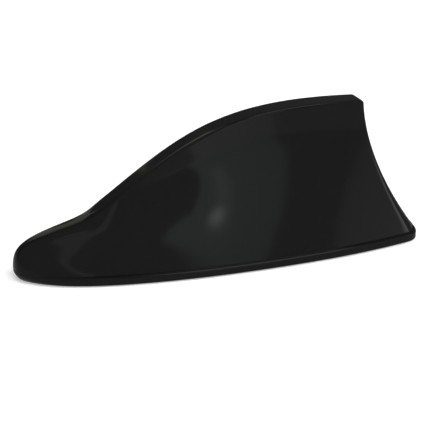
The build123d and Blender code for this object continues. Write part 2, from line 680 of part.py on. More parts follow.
def top_load_plate():
    """The folded sheet over the carrier's top edge, with a tab for the coil's upper end."""
    outer_half = PLATE_INNER_HALF + PLATE_THICKNESS
    hood = spine_sheet(PLATE_INSET, 2 * outer_half)
    hood -= spine_sheet(PLATE_INSET + PLATE_THICKNESS, 2 * PLATE_INNER_HALF)
    hood -= spine_sheet(PLATE_INSET + PLATE_DEPTH, 4 * outer_half)
    start = NECK_X - PLATE_FRONT_FROM_NECK
    end = NECK_X + PLATE_REAR_FROM_NECK
    hood &= span(start, end, outer_half, SILL_TOP, 2 * CREST_HEIGHT)
    low = COIL_TOP + WIRE_SIZE / 2 + PLATE_SLACK
    high = value_at(spine_curves(PLATE_INSET + PLATE_DEPTH / 2), NECK_X)
    strip = (SOLDER_TAB_WIDTH, PLATE_THICKNESS, high - low)
    hood += block(strip, NECK_X, PLATE_INNER_HALF + PLATE_THICKNESS / 2, low)
    tab = (SOLDER_TAB_WIDTH, COIL_SIDE - PLATE_INNER_HALF, PLATE_THICKNESS)
    return hood + block(tab, NECK_X, (COIL_SIDE + PLATE_INNER_HALF) / 2, low)


def contact_clip():
    """The sprung strip from the board up to the coil's lowest turn."""
    touch = COIL_SIDE + CLIP_SLACK + CLIP_THICKNESS / 2
    sole = BOARD_TOP + CLIP_THICKNESS / 2
    heel = touch + CLIP_LEAN
    tip = SILL_TOP + CLIP_ABOVE_SILL
    points = [(heel + CLIP_FOOT, sole), (heel, sole), (touch, COIL_Z + COIL_PITCH / 2), (heel, tip)]
    strip = trace(FilletPolyline(*points, radius=CLIP_BEND), CLIP_THICKNESS)
    upright = Plane((NECK_X, 0, 0), (0, 1, 0), (1, 0, 0)) * strip
    return extrude(upright, CLIP_WIDTH / 2, both=True)


def main():
    """Build every piece and write it under its node's name."""
    os.makedirs("parts", exist_ok=True)
    pieces = {
        "fin_cover": fin_cover(),
        "base_plate": base_plate(),
        "cover_seal": cover_seal(),
        "foam_tape": foam_tape(),
        "cable_grommet": cable_grommet(),
        "cover_screws": cover_screws(),
        "ground_plate": ground_plate(),
        "amplifier_board": amplifier_board(),
        "board_screws": board_screws(),
        "shield_can": shield_can(),
        "amplifier_chip": amplifier_chip(),
        "smoothing_capacitor": smoothing_capacitor(),
        "supply_choke": supply_choke(),
        "chip_capacitors": chip_row(CHIP_CAPACITOR, -CHIP_ROW_Y),
        "chip_resistors": chip_row(CHIP_RESISTOR, CHIP_ROW_Y),
        "coax_socket": coax_socket(),
        "socket_insulator": socket_insulator(),
        "socket_pin": socket_pin(),
        "antenna_carrier": antenna_carrier(),
        "carrier_screws": carrier_screws(),
        "radiator_coil": radiator_coil(),
        "top_load_plate": top_load_plate(),
        "contact_clip": contact_clip(),
    }
    for name, piece in pieces.items():
        shape = Compound(children=piece) if isinstance(piece, list) else piece
        export_step(shape, f"parts/{name}.step")
        print(name, round(shape.volume, 2), len(shape.solids()))


if __name__ == "__main__":
    main()
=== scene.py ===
import json
import logging
import math
from collections.abc import Callable
from dataclasses import dataclass
from enum import Enum
from typing import Any

import bmesh
import bpy
import numpy as np
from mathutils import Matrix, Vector
from numpy.typing import ArrayLike


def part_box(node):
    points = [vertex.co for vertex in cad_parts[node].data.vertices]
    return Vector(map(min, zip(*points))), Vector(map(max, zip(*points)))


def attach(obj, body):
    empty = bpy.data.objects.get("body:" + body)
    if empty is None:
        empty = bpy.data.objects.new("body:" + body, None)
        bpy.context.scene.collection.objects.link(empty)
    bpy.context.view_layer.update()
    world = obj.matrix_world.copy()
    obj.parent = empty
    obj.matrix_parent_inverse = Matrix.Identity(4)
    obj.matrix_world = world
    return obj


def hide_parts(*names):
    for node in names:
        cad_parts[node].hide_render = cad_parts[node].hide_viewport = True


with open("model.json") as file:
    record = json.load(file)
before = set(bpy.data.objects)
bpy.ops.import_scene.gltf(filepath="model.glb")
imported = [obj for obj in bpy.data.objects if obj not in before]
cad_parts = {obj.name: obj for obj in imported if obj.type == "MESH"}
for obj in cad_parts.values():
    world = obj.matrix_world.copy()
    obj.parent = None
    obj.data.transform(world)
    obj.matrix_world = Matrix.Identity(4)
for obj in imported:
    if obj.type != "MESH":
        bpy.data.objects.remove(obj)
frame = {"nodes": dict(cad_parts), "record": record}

LOG = logging.getLogger("shark_fin_aerial")
MM = 0.001
# Points of a skin that lie closer than this, in metres, are welded
WELD = 2e-6
# Edges shorter than this, in metres, are taken out
SPECK = 1e-7
# Faces that meet at more than this, in degrees, keep a sharp edge between them
SHARP_ANGLE = 32.0
# Rolled and drawn metal has its pattern drawn out along X by this scale
BRUSHED_SCALE = (0.06, 1.0, 1.0)
EVEN_SCALE = (1.0, 1.0, 1.0)
# Tints of the light from the front and from behind
COOL_WHITE = "#f6fffb"
WARM_WHITE = "#fffdf0"

Sockets = dict[str | int, Any]
Values = float | np.ndarray


def linear(hex_colour: str) -> tuple[float, float, float, float]:
    """Turns an sRGB hex colour into linear light by the sRGB curve: straight near black, then a power.

    Args:
        hex_colour: Six hex digits after a hash.

    Returns:
        Linear red, green, blue and an alpha of one.
    """
    parts = np.array([int(hex_colour[i:i + 2], 16) / 255 for i in (1, 3, 5)])
    light = np.where(parts <= 0.04045, parts / 12.92, ((parts + 0.055) / 1.055) ** 2.4)
    return (*(float(value) for value in light), 1.0)


def per_metre(size_mm: float) -> float:
    """A texture scale that repeats about once in the given number of millimetres."""
    return 1.0 / (size_mm * MM)


def empty_tree(owner: bpy.types.Material | bpy.types.World) -> bpy.types.NodeTree:
    """Turns on the node tree of a material or world and empties it.

    Args:
        owner: The material or world.

    Returns:
        Its empty node tree.
    """
    owner.use_nodes = True
    owner.node_tree.nodes.clear()
    return owner.node_tree


def add_node(tree: bpy.types.NodeTree, kind: str, sets: dict[str, Any] | None = None,
             values: Sockets | None = None, links: Sockets | None = None) -> bpy.types.Node:
    """Adds a node with its settings, its socket values and the links into it.

    Args:
        tree: The node tree.
        kind: The node's type name.
        sets: Properties of the node.
        values: Values of its input sockets, by name or number.
        links: Output sockets that feed its inputs, by the input's name or number.

    Returns:
        The new node.
    """
    node = tree.nodes.new(kind)
    for name, value in (sets or {}).items():
        setattr(node, name, value)
    for name, value in (values or {}).items():
        node.inputs[name].default_value = value
    for name, source in (links or {}).items():
        tree.links.new(source, node.inputs[name])
    return node


def seen_by_ray(tree: bpy.types.NodeTree, light: bpy.types.Node, camera: bpy.types.Node,
                gloss: bpy.types.Node) -> bpy.types.NodeSocket:
    """Picks one of three shaders by what looks at it.

    Args:
        tree: The node tree.
        light: The shader that lights the scene.
        camera: The one that the camera sees.
        gloss: The one that reflections show.

    Returns:
        The picked shader's socket.
    """
    ray = add_node(tree, "ShaderNodeLightPath")
    plain = add_node(tree, "ShaderNodeMixShader",
                     links={0: ray.outputs["Is Camera Ray"], 1: light.outputs[0], 2: camera.outputs[0]})
    picked = add_node(tree, "ShaderNodeMixShader",
                      links={0: ray.outputs["Is Glossy Ray"], 1: plain.outputs[0], 2: gloss.outputs[0]})
    return picked.outputs[0]


def add_object(name: str, data: bpy.types.ID) -> bpy.types.Object:
    """Puts a mesh, a lamp or a camera into the scene.

    Args:
        name: The object's name.
        data: What it shows.

    Returns:
        The new object, at the origin.
    """
    made = bpy.data.objects.new(name, data)
    bpy.context.scene.collection.objects.link(made)
    return made


class Texture(Enum):
    """How a surface was made, which picks its fine pattern."""

    MOULDED = "moulded"
    BRUSHED = "brushed"
    CELLS = "cells"
    WOVEN = "woven"


@dataclass(frozen=True)
class Finish:
    """A real material and how its surface was made, as numbers for one shader.

    Attributes:
        name: The material's name in a maker's words.
        colour: Its sRGB hex colour.
        shade: A second sRGB hex colour that the pattern fades to.
        roughness: Roughness of the surface.
        metallic: One for bare metal.
        ior: Index of refraction of a plastic, resin or rubber.
        texture: How the surface was made.
        grain_mm: Size of the pattern in millimetres.
        relief_mm: Height of the pattern's relief in millimetres.
        roughness_spread: How far the pattern changes the roughness.
    """

    name: str
    colour: str
    shade: str
    roughness: float
    metallic: float = 0.0
    ior: float = 1.5
    texture: Texture = Texture.MOULDED
    grain_mm: float = 1.0
    relief_mm: float = 0.0
    roughness_spread: float = 0.0

    def material(self) -> bpy.types.Material:
        """Builds the material.

        Returns:
            A material whose pattern reads Object coordinates.
        """
        made = bpy.data.materials.new(self.name)
        tree = empty_tree(made)
        values = {"Base Color": linear(self.colour), "Roughness": self.roughness, "Metallic": self.metallic}
        if not self.metallic:
            values["IOR"] = self.ior
        shader = add_node(tree, "ShaderNodeBsdfPrincipled", values=values)
        add_node(tree, "ShaderNodeOutputMaterial", links={"Surface": shader.outputs["BSDF"]})
        self.dress(tree, shader)
        return made

    def dress(self, tree: bpy.types.NodeTree, shader: bpy.types.Node) -> None:
        """Adds the pattern: it fades the colour, spreads the roughness and lifts the surface.

        Args:
            tree: The material's node tree.
            shader: Its shader node.
        """
        place = add_node(tree, "ShaderNodeTexCoord")
        stretch = BRUSHED_SCALE if self.texture is Texture.BRUSHED else EVEN_SCALE
        drawn_out = add_node(tree, "ShaderNodeMapping", values={"Scale": stretch},
                             links={"Vector": place.outputs["Object"]})
        noise = ("ShaderNodeTexNoise", {}, {"Detail": 3.0}, "Fac")
        kind, sets, values, output = {
            Texture.CELLS: ("ShaderNodeTexVoronoi", {"feature": "SMOOTH_F1"}, {}, "Distance"),
            Texture.WOVEN: ("ShaderNodeTexChecker", {}, {}, "Fac"),
        }.get(self.texture, noise)
        pattern = add_node(tree, kind, sets, {"Scale": per_metre(self.grain_mm), **values},
                           {"Vector": drawn_out.outputs["Vector"]})
        height = pattern.outputs[output]
        # A colour mix has its factor at input 0, its colours at 6 and 7 and its result at output 2
        fade = add_node(tree, "ShaderNodeMix", {"data_type": "RGBA"},
                        {6: linear(self.shade), 7: linear(self.colour)}, {0: height})
        tree.links.new(fade.outputs[2], shader.inputs["Base Color"])
        if self.roughness_spread:
            low, high = self.roughness - self.roughness_spread, self.roughness + self.roughness_spread
            spread = add_node(tree, "ShaderNodeMapRange", values={"To Min": low, "To Max": high},
                              links={"Value": height})
            tree.links.new(spread.outputs["Result"], shader.inputs["Roughness"])
        if self.relief_mm:
            bump = add_node(tree, "ShaderNodeBump", links={"Height": height},
                            values={"Distance": self.relief_mm * MM, "Strength": 1.0})
            tree.links.new(bump.outputs["Normal"], shader.inputs["Normal"])


FINISHES: dict[str, Finish] = {
    # Polished black ABS: a deep black that shows only what it reflects, with a faint moulding ripple
    "gloss_black_cover": Finish("gloss_black_abs", "#0b0b0b", "#0c0c0c", 0.07, grain_mm=14.0,
                                relief_mm=0.006, roughness_spread=0.02),
    # Spark-eroded black ABS: dull and evenly grained
    "black_base_moulding": Finish("grained_black_abs", "#1a1a1b", "#131314", 0.55, grain_mm=0.6,
                                  relief_mm=0.02, roughness_spread=0.08),
    # Moulded rubber: soft black with a bloom
    "black_rubber": Finish("moulded_rubber", "#191919", "#222222", 0.75, ior=1.52, grain_mm=1.5,
                           relief_mm=0.01, roughness_spread=0.1),
    # Closed-cell acrylic foam: pale grey, with cells drawn coarse enough to show
    "grey_foam": Finish("closed_cell_foam", "#8b8c8c", "#6f7071", 0.9, ior=1.48, texture=Texture.CELLS,
                        grain_mm=0.7, relief_mm=0.08),
    # Zinc-plated steel: bright, with a faint blue cast
    "plated_steel": Finish("zinc_plated_steel", "#b9bdc0", "#a3a7ab", 0.3, 1.0, grain_mm=0.8,
                           roughness_spread=0.08),
    # Hot-tinned sheet: satin grey-white, rolled along its length
    "tinned_sheet": Finish("tinned_steel_sheet", "#c3c3bf", "#adada9", 0.34, 1.0, texture=Texture.BRUSHED,
                           grain_mm=0.4, roughness_spread=0.1),
    # Glass-epoxy laminate under green resist: glossy, with the weave just showing
    "board_laminate": Finish("resist_coated_laminate", "#1d5a35", "#194f2f", 0.3, ior=1.55,
                             texture=Texture.WOVEN, grain_mm=0.9, relief_mm=0.005),
    # Transfer-moulded epoxy: charcoal and matt
    "chip_resin": Finish("moulded_epoxy", "#262628", "#1f1f21", 0.6, ior=1.55, grain_mm=0.2,
                         relief_mm=0.005),
    # Drawn aluminium can: bright and finely drawn
    "can_aluminium": Finish("drawn_aluminium", "#cfd1d3", "#bcbfc2", 0.28, 1.0, texture=Texture.BRUSHED,
                            grain_mm=0.3, roughness_spread=0.08),
    # Pressed ferrite: dark grey and dusty
    "choke_ferrite": Finish("pressed_ferrite", "#3a3836", "#2d2c2b", 0.7, ior=1.6, grain_mm=0.4,
                            relief_mm=0.01),
    # Fired ceramic: tan, slightly waxy
    "chip_ceramic": Finish("fired_tan_ceramic", "#a98a66", "#9c7d5a", 0.45, ior=1.6, grain_mm=0.3),
    # Glazed alumina under a black overcoat: near black with a dull sheen
    "resistor_ceramic": Finish("overcoated_alumina", "#2a2a2c", "#242426", 0.35, ior=1.6, grain_mm=0.3),
    # Turned brass: warm yellow, with fine tool lines
    "socket_brass": Finish("turned_brass", "#c7a052", "#b38c42", 0.25, 1.0, texture=Texture.BRUSHED,
                           grain_mm=0.3, roughness_spread=0.06),
    # Machined fluoroplastic: waxy white
    "white_insulator": Finish("machined_fluoroplastic", "#e6e5e0", "#dcdbd5", 0.4, ior=1.38, grain_mm=0.6),
    # Unfilled nylon: milky, with a satin moulded skin
    "natural_carrier": Finish("natural_nylon", "#d8d3c4", "#cdc7b6", 0.42, ior=1.53, grain_mm=2.0,
                              relief_mm=0.01),
    # Enamelled copper: reddish under a clear coat
    "copper_wire": Finish("enamelled_copper", "#b5673a", "#a25a31", 0.28, 1.0, texture=Texture.BRUSHED,
                          grain_mm=0.4, roughness_spread=0.05),
    # Rolled phosphor bronze: paler than copper, springy and smooth
    "spring_bronze": Finish("rolled_bronze", "#b98a5a", "#a97a4c", 0.3, 1.0, texture=Texture.BRUSHED,
                            grain_mm=0.3, roughness_spread=0.06),
}


def blend(start: Values, end: Values, share: Values) -> Values:
    """The value at a share of the way from one value to another."""
    return start + (end - start) * share


def ease(share: np.ndarray) -> np.ndarray:
    """A smooth step from 0 to 1: three times the square less twice the cube."""
    held = np.clip(share, 0.0, 1.0)
    return held * held * (3 - 2 * held)


def softly_least(a: np.ndarray, b: Values, sharpness: float = 6.0, least: float = 1e-9) -> np.ndarray:
    """The lesser of two positive values, rounded off between them by a sum of inverse powers."""
    low = np.maximum(a, least)
    return (low ** -sharpness + np.asarray(b, float) ** -sharpness) ** (-1 / sharpness)


def along(point: tuple[float, float], length: float, angle: float) -> tuple[float, float]:
    """The point at a length and an angle in degrees from another point."""
    turn = math.radians(angle)
    return (point[0] + length * math.cos(turn), point[1] + length * math.sin(turn))


def run_length(points: np.ndarray) -> np.ndarray:
    """How far along a line of points each one lies, from 0 at the first."""
    return np.concatenate([[0], np.linalg.norm(np.diff(points, axis=0), axis=1).cumsum()])


def bezier(points: list[ArrayLike], share: np.ndarray) -> np.ndarray:
    """A Bezier curve of any degree, by repeated mixing of neighbouring points.

    Args:
        points: Control points, each a pair or an array that ends in a pair.
        share: How far along the curve, from 0 to 1, in any shape.

    Returns:
        An array of the share's shape with the pair as its last axis.
    """
    at = np.asarray(share, float)[..., None]
    mixed = [np.asarray(point, float) for point in points]
    while len(mixed) > 1:
        mixed = [a * (1 - at) + b * at for a, b in zip(mixed, mixed[1:])]
    return mixed[0]


def solve(function: Callable[[np.ndarray], np.ndarray], low: np.ndarray, high: np.ndarray,
          steps: int = 46) -> np.ndarray:
    """Where a rising function of whole arrays passes zero, by halving.

    Args:
        function: Takes an array and gives one of the same shape.
        low: Where the function is below zero.
        high: Where it is above zero.
        steps: How often the range is halved.

    Returns:
        The array of crossings.
    """
    for _ in range(steps):
        middle = (low + high) / 2
        below = function(middle) < 0
        low, high = np.where(below, middle, low), np.where(below, high, middle)
    return (low + high) / 2


def grid_faces(columns: int, rows: int) -> np.ndarray:
    """The four corner numbers of each face of a grid whose points are numbered column by column."""
    at = np.arange(columns * rows).reshape(columns, rows)
    return np.stack([at[:-1, :-1], at[1:, :-1], at[1:, 1:], at[:-1, 1:]], -1).reshape(-1, 4)


@dataclass(frozen=True)
class FootPlan:
    """Half of the foot's outline seen from above: a blunt nose, a widest place and a bowed tail.

    Lengths are in millimetres. A handle is a control point that draws a Bezier curve towards it.
    """

    length: float
    width: float
    # Handles beside the nose and ahead of the widest place, and that place
    nose_bluntness: float = 13.0
    nose_to_front_handle: float = 38.0
    nose_to_widest: float = 117.5
    # Handles behind that place and ahead of the tail's corner
    tail_to_rear_handle: float = 32.2
    tail_to_corner_handle: float = 14.4
    corner_handle_half: float = 27.6
    # Width across the corners, radius of the bowed tail, where a corner's rounding starts, and
    # how far the side is carried on past it
    tail_width: float = 50.8
    crown_radius: float = 80.0
    corner_reach: float = 5.1
    carry: float = 20.0
    # Points on each curve of the side, round the corner and on half of the tail
    side_points: int = 1500
    corner_points: int = 60
    tail_points: int = 400

    @property
    def nose(self) -> float:
        """The foot's first place along X."""
        return -self.length / 2

    @property
    def tail(self) -> float:
        """The foot's last place along X."""
        return self.length / 2

    def sag(self, half: Values) -> np.ndarray:
        """How far the bowed tail falls forward at a distance from the middle: the sagitta of its circle."""
        return self.crown_radius - np.sqrt(self.crown_radius ** 2 - np.asarray(half) ** 2)

    def side(self, inset: float = 0.0, ahead: float = 0.0) -> np.ndarray:
        """Nose to tail corner as two Bezier curves, moved inwards and carried on straight past the corner.

        Args:
            inset: How far the outline is moved inwards.
            ahead: How much less the nose is moved.

        Returns:
            Points of x and y.
        """
        nose = self.nose + inset - ahead
        half = self.width / 2 - inset
        blunt = self.nose_bluntness * half / (self.width / 2)
        corner_half = self.tail_width / 2 - inset
        corner = (self.tail - inset - float(self.sag(corner_half)), corner_half)
        widest = (self.nose + self.nose_to_widest, half)
        front_handle = (self.nose + self.nose_to_front_handle, half)
        rear_handle = (self.tail - self.tail_to_rear_handle, half)
        corner_handle = (self.tail - self.tail_to_corner_handle, self.corner_handle_half - inset)
        share = np.linspace(0, 1, self.side_points)
        front = bezier([(nose, 0), (nose, blunt), front_handle, widest], share)
        rear = bezier([widest, rear_handle, corner_handle, corner], share)
        heading = rear[-1] - rear[-2]
        past = rear[-1] + self.carry * heading / np.linalg.norm(heading)
        return np.concatenate([front, rear[1:], past[None]])

    def outline(self, share: np.ndarray) -> np.ndarray:
        """Nose to the middle of the tail, at shares of its length.

        The tail is an arc of its circle, and its corner is rounded by a quadratic Bezier curve.

        Args:
            share: Shares of the outline's length, from 0 to 1.

        Returns:
            Points of x and y.
        """
        side = self.side()[:-1]
        corner = side[-1]
        to_corner = np.linalg.norm(np.diff(side, axis=0), axis=1)[::-1].cumsum()[::-1]
        before = side[:-1][to_corner > self.corner_reach]
        y = np.linspace(corner[1], 0, self.tail_points)
        arc = np.stack([self.tail - self.sag(y), y], -1)
        after = arc[np.linalg.norm(arc - corner, axis=1) > self.corner_reach]
        bend = bezier([before[-1], corner, after[0]], np.linspace(0, 1, self.corner_points))
        whole = np.concatenate([before, bend[1:-1], after])
        length = run_length(whole)
        return np.stack([np.interp(share * length[-1], length, whole[:, k]) for k in (0, 1)], -1)


@dataclass(frozen=True)
class FinForm:
    """The fin above the rim: guide curves for spine, trailing edge and walls.

    A place on its skin is given by the distance behind the nose and by a share: 0 to 1 goes up the wall
    from the rim, 1 to 2 round the shoulder and 2 to 3 across the crest to the middle. Lengths are in
    millimetres and angles in degrees. A reach is the distance of a Bezier curve's handle from its end.
    """

    plan: FootPlan
    # Heights at which the skin starts and from which the curves of the walls rise
    rim_top: float
    foot_z: float
    # How far the skin lies inside the outer one, and its foot inside the outline, also at the nose
    inset: float = 0.0
    step: float = 0.6
    nose_step: float = 0.1
    # Start of the spine at the nose, and its reach upwards
    pole_height: float = 3.21
    nose_rise: float = 8.6
    # Back of the dome: its place, the spine's slope there and the reaches before and behind
    nose_to_dome: float = 20.2
    dome_height: float = 19.8
    dome_angle: float = 13.5
    dome_reach: float = 20.0
    kink_reach: float = 12.6
    # Middle of the ramp, in the same way
    nose_to_ramp: float = 47.6
    ramp_height: float = 33.6
    ramp_angle: float = 33.7
    ramp_reach_below: float = 17.9
    ramp_reach_above: float = 34.6
    # Rear end of the crest, in the same way
    crest_height: float = 56.575
    crest_angle: float = -4.94
    crest_reach: float = 53.2
    tail_to_crest: float = 20.9
    # Handle that bows the trailing edge, and the height of the edge's foot
    tail_to_bow: float = 18.7
    bow_height: float = 28.0
    tail_low_z: float = 3.9
    # Full width of the crest, the distance at which it has it and the power by which it grows;
    # its limit as a share of the foot's width, and an inner one's least share of the outer one
    crest_width: float = 10.6
    crest_full_at: float = 100.0
    crest_growth: float = 0.255
    crest_limit: float = 0.55
    inner_crest: float = 1 / 3
    # Rounding of the shoulder along the crest and on the dome, and its limit as a share of the
    # crest's half width
    crest_round: float = 1.3
    dome_round: float = 7.6
    round_limit: float = 0.95
    # Slope of the wall under the dome's shoulder, and the distance at which it stands upright
    dome_lean: float = 55.0
    upright_at: float = 69.5
    # Distances at which the shoulder starts to sharpen and is sharp
    crease_starts_at: float = 23.2
    crease_full_at: float = 37.1
    # Slope of the wall at its foot, also at the nose, whose share dies away over a length
    foot_lean: float = 50.4
    nose_lean: float = 118.9
    foot_lean_at: float = 12.8
    # Reaches of the wall at foot and shoulder as shares of its height, in the same way
    foot_bulge: float = 0.315
    nose_foot_bulge: float = 0.485
    top_bulge: float = 0.317
    nose_top_bulge: float = 0.378
    bulge_fade: float = 20.7
    # Kink between dome and ramp: changes of slope at foot and shoulder, its place and length
    kink_flare: float = -10.4
    kink_tuck: float = -15.6
    nose_to_kink: float = 32.0
    kink_length: float = 14.0
    # Rounding of the rear edge at crest and foot, and the power by which it grows downwards
    edge_reach_top: float = 1.2
    edge_reach_foot: float = 4.6
    edge_growth: float = 1.5
    # How far the curves are carried on upwards, and the height to which one goes on downwards
    carry: float = 40.0
    lowest_z: float = -20.0
    # Height of the first column above the rim, and where the search for the tail face runs
    first_lift: float = 0.02
    search_from: float = 60.0
    search_past: float = 8.0
    # Points on each curve of the spine and on the trailing edge
    spine_points: int = 1500
    edge_points: int = 800

    def spine(self) -> np.ndarray:
        """The spine from the side: three cubic Bezier curves for dome, ramp and crest, carried on straight.

        Returns:
            Points of x and z.
        """
        nose, tail = self.plan.nose, self.plan.tail
        pole = (nose + self.nose_step + self.inset, self.pole_height)
        dome = along((nose + self.nose_to_dome, self.dome_height), self.inset, self.dome_angle - 90)
        ramp = along((nose + self.nose_to_ramp, self.ramp_height), self.inset, self.ramp_angle - 90)
        crest = along((tail - self.tail_to_crest, self.crest_height), self.inset, self.crest_angle - 90)
        over_dome = [pole, (pole[0], pole[1] + self.nose_rise),
                     along(dome, self.inset - self.dome_reach, self.dome_angle), dome]
        up_ramp = [dome, along(dome, self.kink_reach, self.dome_angle),
                   along(ramp, -self.ramp_reach_below, self.ramp_angle), ramp]
        to_crest = [ramp, along(ramp, self.ramp_reach_above, self.ramp_angle),
                    along(crest, -self.crest_reach, self.crest_angle), crest]
        share = np.linspace(0, 1, self.spine_points)
        past = along(crest, self.carry, self.crest_angle)
        return np.concatenate([bezier(over_dome, share), bezier(up_ramp, share)[1:],
                               bezier(to_crest, share)[1:], [past]])

    def trailing_edge(self) -> np.ndarray:
        """The tail seen from the side: one quadratic Bezier curve, carried on down and up.

        Returns:
            Points of x and z.
        """
        tail = self.plan.tail - self.inset
        low = (tail - self.step, self.tail_low_z)
        bow = (tail - self.tail_to_bow, self.bow_height)
        crest = (tail - self.tail_to_crest, self.crest_height)
        curve = bezier([low, bow, crest], np.linspace(0, 1, self.edge_points))
        slope = (curve[-1] - curve[-2]) / (curve[-1, 1] - curve[-2, 1])
        return np.concatenate([[(low[0], self.lowest_z)], curve, [curve[-1] + self.carry * slope]])

    def tail_x(self, y: np.ndarray, z: np.ndarray) -> np.ndarray:
        """Where the bowed tail face stands along X: the trailing edge less the sag across."""
        edge = self.trailing_edge()
        return np.interp(z, edge[:, 1], edge[:, 0]) - self.plan.sag(y)

    def skin(self, distance: np.ndarray, share: np.ndarray) -> np.ndarray:
        """Points on the skin, before the tail is cut.

        The wall is a cubic Bezier curve from the foot to the shoulder, cut where it leaves the rim; the
        shoulder is a quadratic one about the corner of wall and crest; the crest is straight across.

        Args:
            distance: Distances behind the nose.
            share: Shares from 0 to 3, in the same shape.

        Returns:
            Points of x, y and z.
        """
        x = self.plan.nose + self.nose_step + self.inset + distance
        side = self.plan.side(self.step + self.inset, self.step - self.nose_step)
        spine = self.spine()
        half = np.interp(x, side[:, 0], side[:, 1])
        top = np.interp(x, spine[:, 0], spine[:, 1])
        crest = self.crest_width / 2 * softly_least(distance / self.crest_full_at, 1.0) ** self.crest_growth
        crest = np.maximum(crest - self.inset, crest * self.inner_crest)
        crest = softly_least(crest, self.crest_limit * half)
        crease = ease((distance - self.crease_starts_at) / (self.crease_full_at - self.crease_starts_at))
        rounding = softly_least(self.round_limit * crest, blend(self.dome_round, self.crest_round, crease))
        at_kink = np.exp(-((distance - self.nose_to_kink) / self.kink_length) ** 2)
        lean = blend(self.dome_lean, 90, ease(distance / self.upright_at))
        lean = np.radians(lean + self.kink_tuck * at_kink)
        rise = blend(self.foot_lean, self.nose_lean, np.exp(-distance / self.foot_lean_at))
        rise = np.radians(rise + self.kink_flare * at_kink)
        down = np.stack([np.cos(lean), -np.sin(lean)], -1)
        up = np.stack([-np.cos(rise), np.sin(rise)], -1)
        foot = np.stack([half, np.full_like(half, self.foot_z)], -1)
        corner = np.stack([crest, top], -1)
        shoulder = corner + rounding[..., None] * down
        flat = np.stack([crest - rounding, top], -1)
        span = np.linalg.norm(foot - shoulder, axis=-1)
        near_nose = np.exp(-distance / self.bulge_fade)
        low = span * blend(self.foot_bulge, self.nose_foot_bulge, near_nose)
        high = span * blend(self.top_bulge, self.nose_top_bulge, near_nose)
        wall = [foot, foot + low[..., None] * up, shoulder + high[..., None] * down, shoulder]
        start = solve(lambda at: bezier(wall, at)[..., 1] - self.rim_top,
                      np.zeros_like(top), np.ones_like(top), steps=30)
        on_wall = bezier(wall, blend(start, 1, np.clip(share, 0, 1)))
        on_shoulder = bezier([shoulder, corner, flat], np.clip(share - 1, 0, 1))
        on_crest = bezier([flat, flat * (0, 1)], np.clip(share - 2, 0, 1))
        at = share[..., None]
        place = np.where(at <= 1, on_wall, np.where(at <= 2, on_shoulder, on_crest))
        return np.concatenate([x[..., None], place], -1)

    def columns(self, shares: np.ndarray, side: int, edge: int, tail: int) -> np.ndarray:
        """Half of the fin's skin as a grid: along the side, round the rear edge and over the tail face.

        Each row of the side ends short of the tail face by the edge's reach. The rear edge is a quadratic
        Bezier curve about the sharp corner, and the tail face is drawn in towards the middle line.

        Args:
            shares: The rows' shares, from 0 at the rim to 3 in the middle of the crest.
            side: Columns along the side.
            edge: Columns round the rear edge.
            tail: Columns over the tail face.

        Returns:
            A grid of points, columns first.
        """
        def behind(distance: np.ndarray) -> np.ndarray:
            """How far each row's place at a distance lies behind the tail face."""
            point = self.skin(distance, shares)
            return point[:, 0] - self.tail_x(point[:, 1], point[:, 2])

        last = solve(behind, np.full_like(shares, self.search_from),
                     np.full_like(shares, self.plan.length + self.search_past))
        sharp = self.skin(last, shares)
        height = np.clip((sharp[:, 2] - self.rim_top) / (self.crest_height - self.rim_top), 0, 1)
        reach = blend(self.edge_reach_top, self.edge_reach_foot, (1 - height) ** self.edge_growth)
        spine = self.spine()
        rising = spine[:np.argmax(spine[:, 1])]
        first = np.interp(self.rim_top + self.first_lift, rising[:, 1], rising[:, 0]) - spine[0, 0]
        # Even steps of the root crowd the columns towards the nose, where the pole is closed
        roots = blend(np.sqrt(first), np.sqrt(last - reach), np.linspace(0, 1, side)[:, None])
        flank = self.skin(roots ** 2, np.broadcast_to(shares, roots.shape))
        flank[0, :, 1] = 0.0
        run = np.gradient(sharp[:, 1:], axis=0)
        run /= np.linalg.norm(run, axis=1)[:, None]
        inward = np.stack([-run[:, 1], run[:, 0]], -1)
        inward[-1] = (0.0, -1.0)
        inner = sharp[:, 1:] + reach[:, None] * inward
        inner[:, 0] = np.maximum(inner[:, 0], 0.0)
        inner[shares >= 3, 0] = 0.0
        inner[0, 1] = self.rim_top
        held = np.stack([self.tail_x(inner[:, 0], inner[:, 1]), inner[:, 0], inner[:, 1]], -1)
        bend = bezier([flank[-1][None], sharp[None], held[None]], np.linspace(0, 1, edge + 1)[1:, None])
        length = run_length(inner)
        middle_z = blend(inner[0, 1], inner[-1, 1], length / length[-1])
        share = np.linspace(0, 1, tail + 1)[1:, None]
        y = inner[:, 0] * (1 - share)
        z = blend(inner[:, 1], middle_z, share)
        face = np.stack([self.tail_x(y, z), y, z], -1)
        return np.concatenate([flank, bend, face])


def mesh_from_halves(name: str, half: np.ndarray) -> bpy.types.Object:
    """Makes a closed, even piece from one half of its skin.

    The other half is the same grid with y turned over; the edges that lie in the middle plane are welded.

    Args:
        name: The piece's name.
        half: A grid of points in millimetres, columns first, whose faces look outwards.

    Returns:
        The new object, at the origin.
    """
    columns, rows = half.shape[:2]
    points = np.concatenate([half, half * (1, -1, 1)]).reshape(-1, 3) * MM
    faces = grid_faces(columns, rows)
    faces = np.concatenate([faces, faces[:, ::-1] + columns * rows])
    mesh = bpy.data.meshes.new(name)
    mesh.from_pydata(points.tolist(), [], faces.tolist())
    work = bmesh.new()
    work.from_mesh(mesh)
    bmesh.ops.remove_doubles(work, verts=work.verts, dist=WELD)
    bmesh.ops.dissolve_degenerate(work, edges=work.edges, dist=SPECK)
    bmesh.ops.recalc_face_normals(work, faces=work.faces)
    work.to_mesh(mesh)
    work.free()
    mesh.shade_smooth()
    mesh.set_sharp_from_angle(angle=math.radians(SHARP_ANGLE))
    return add_object(name, mesh)


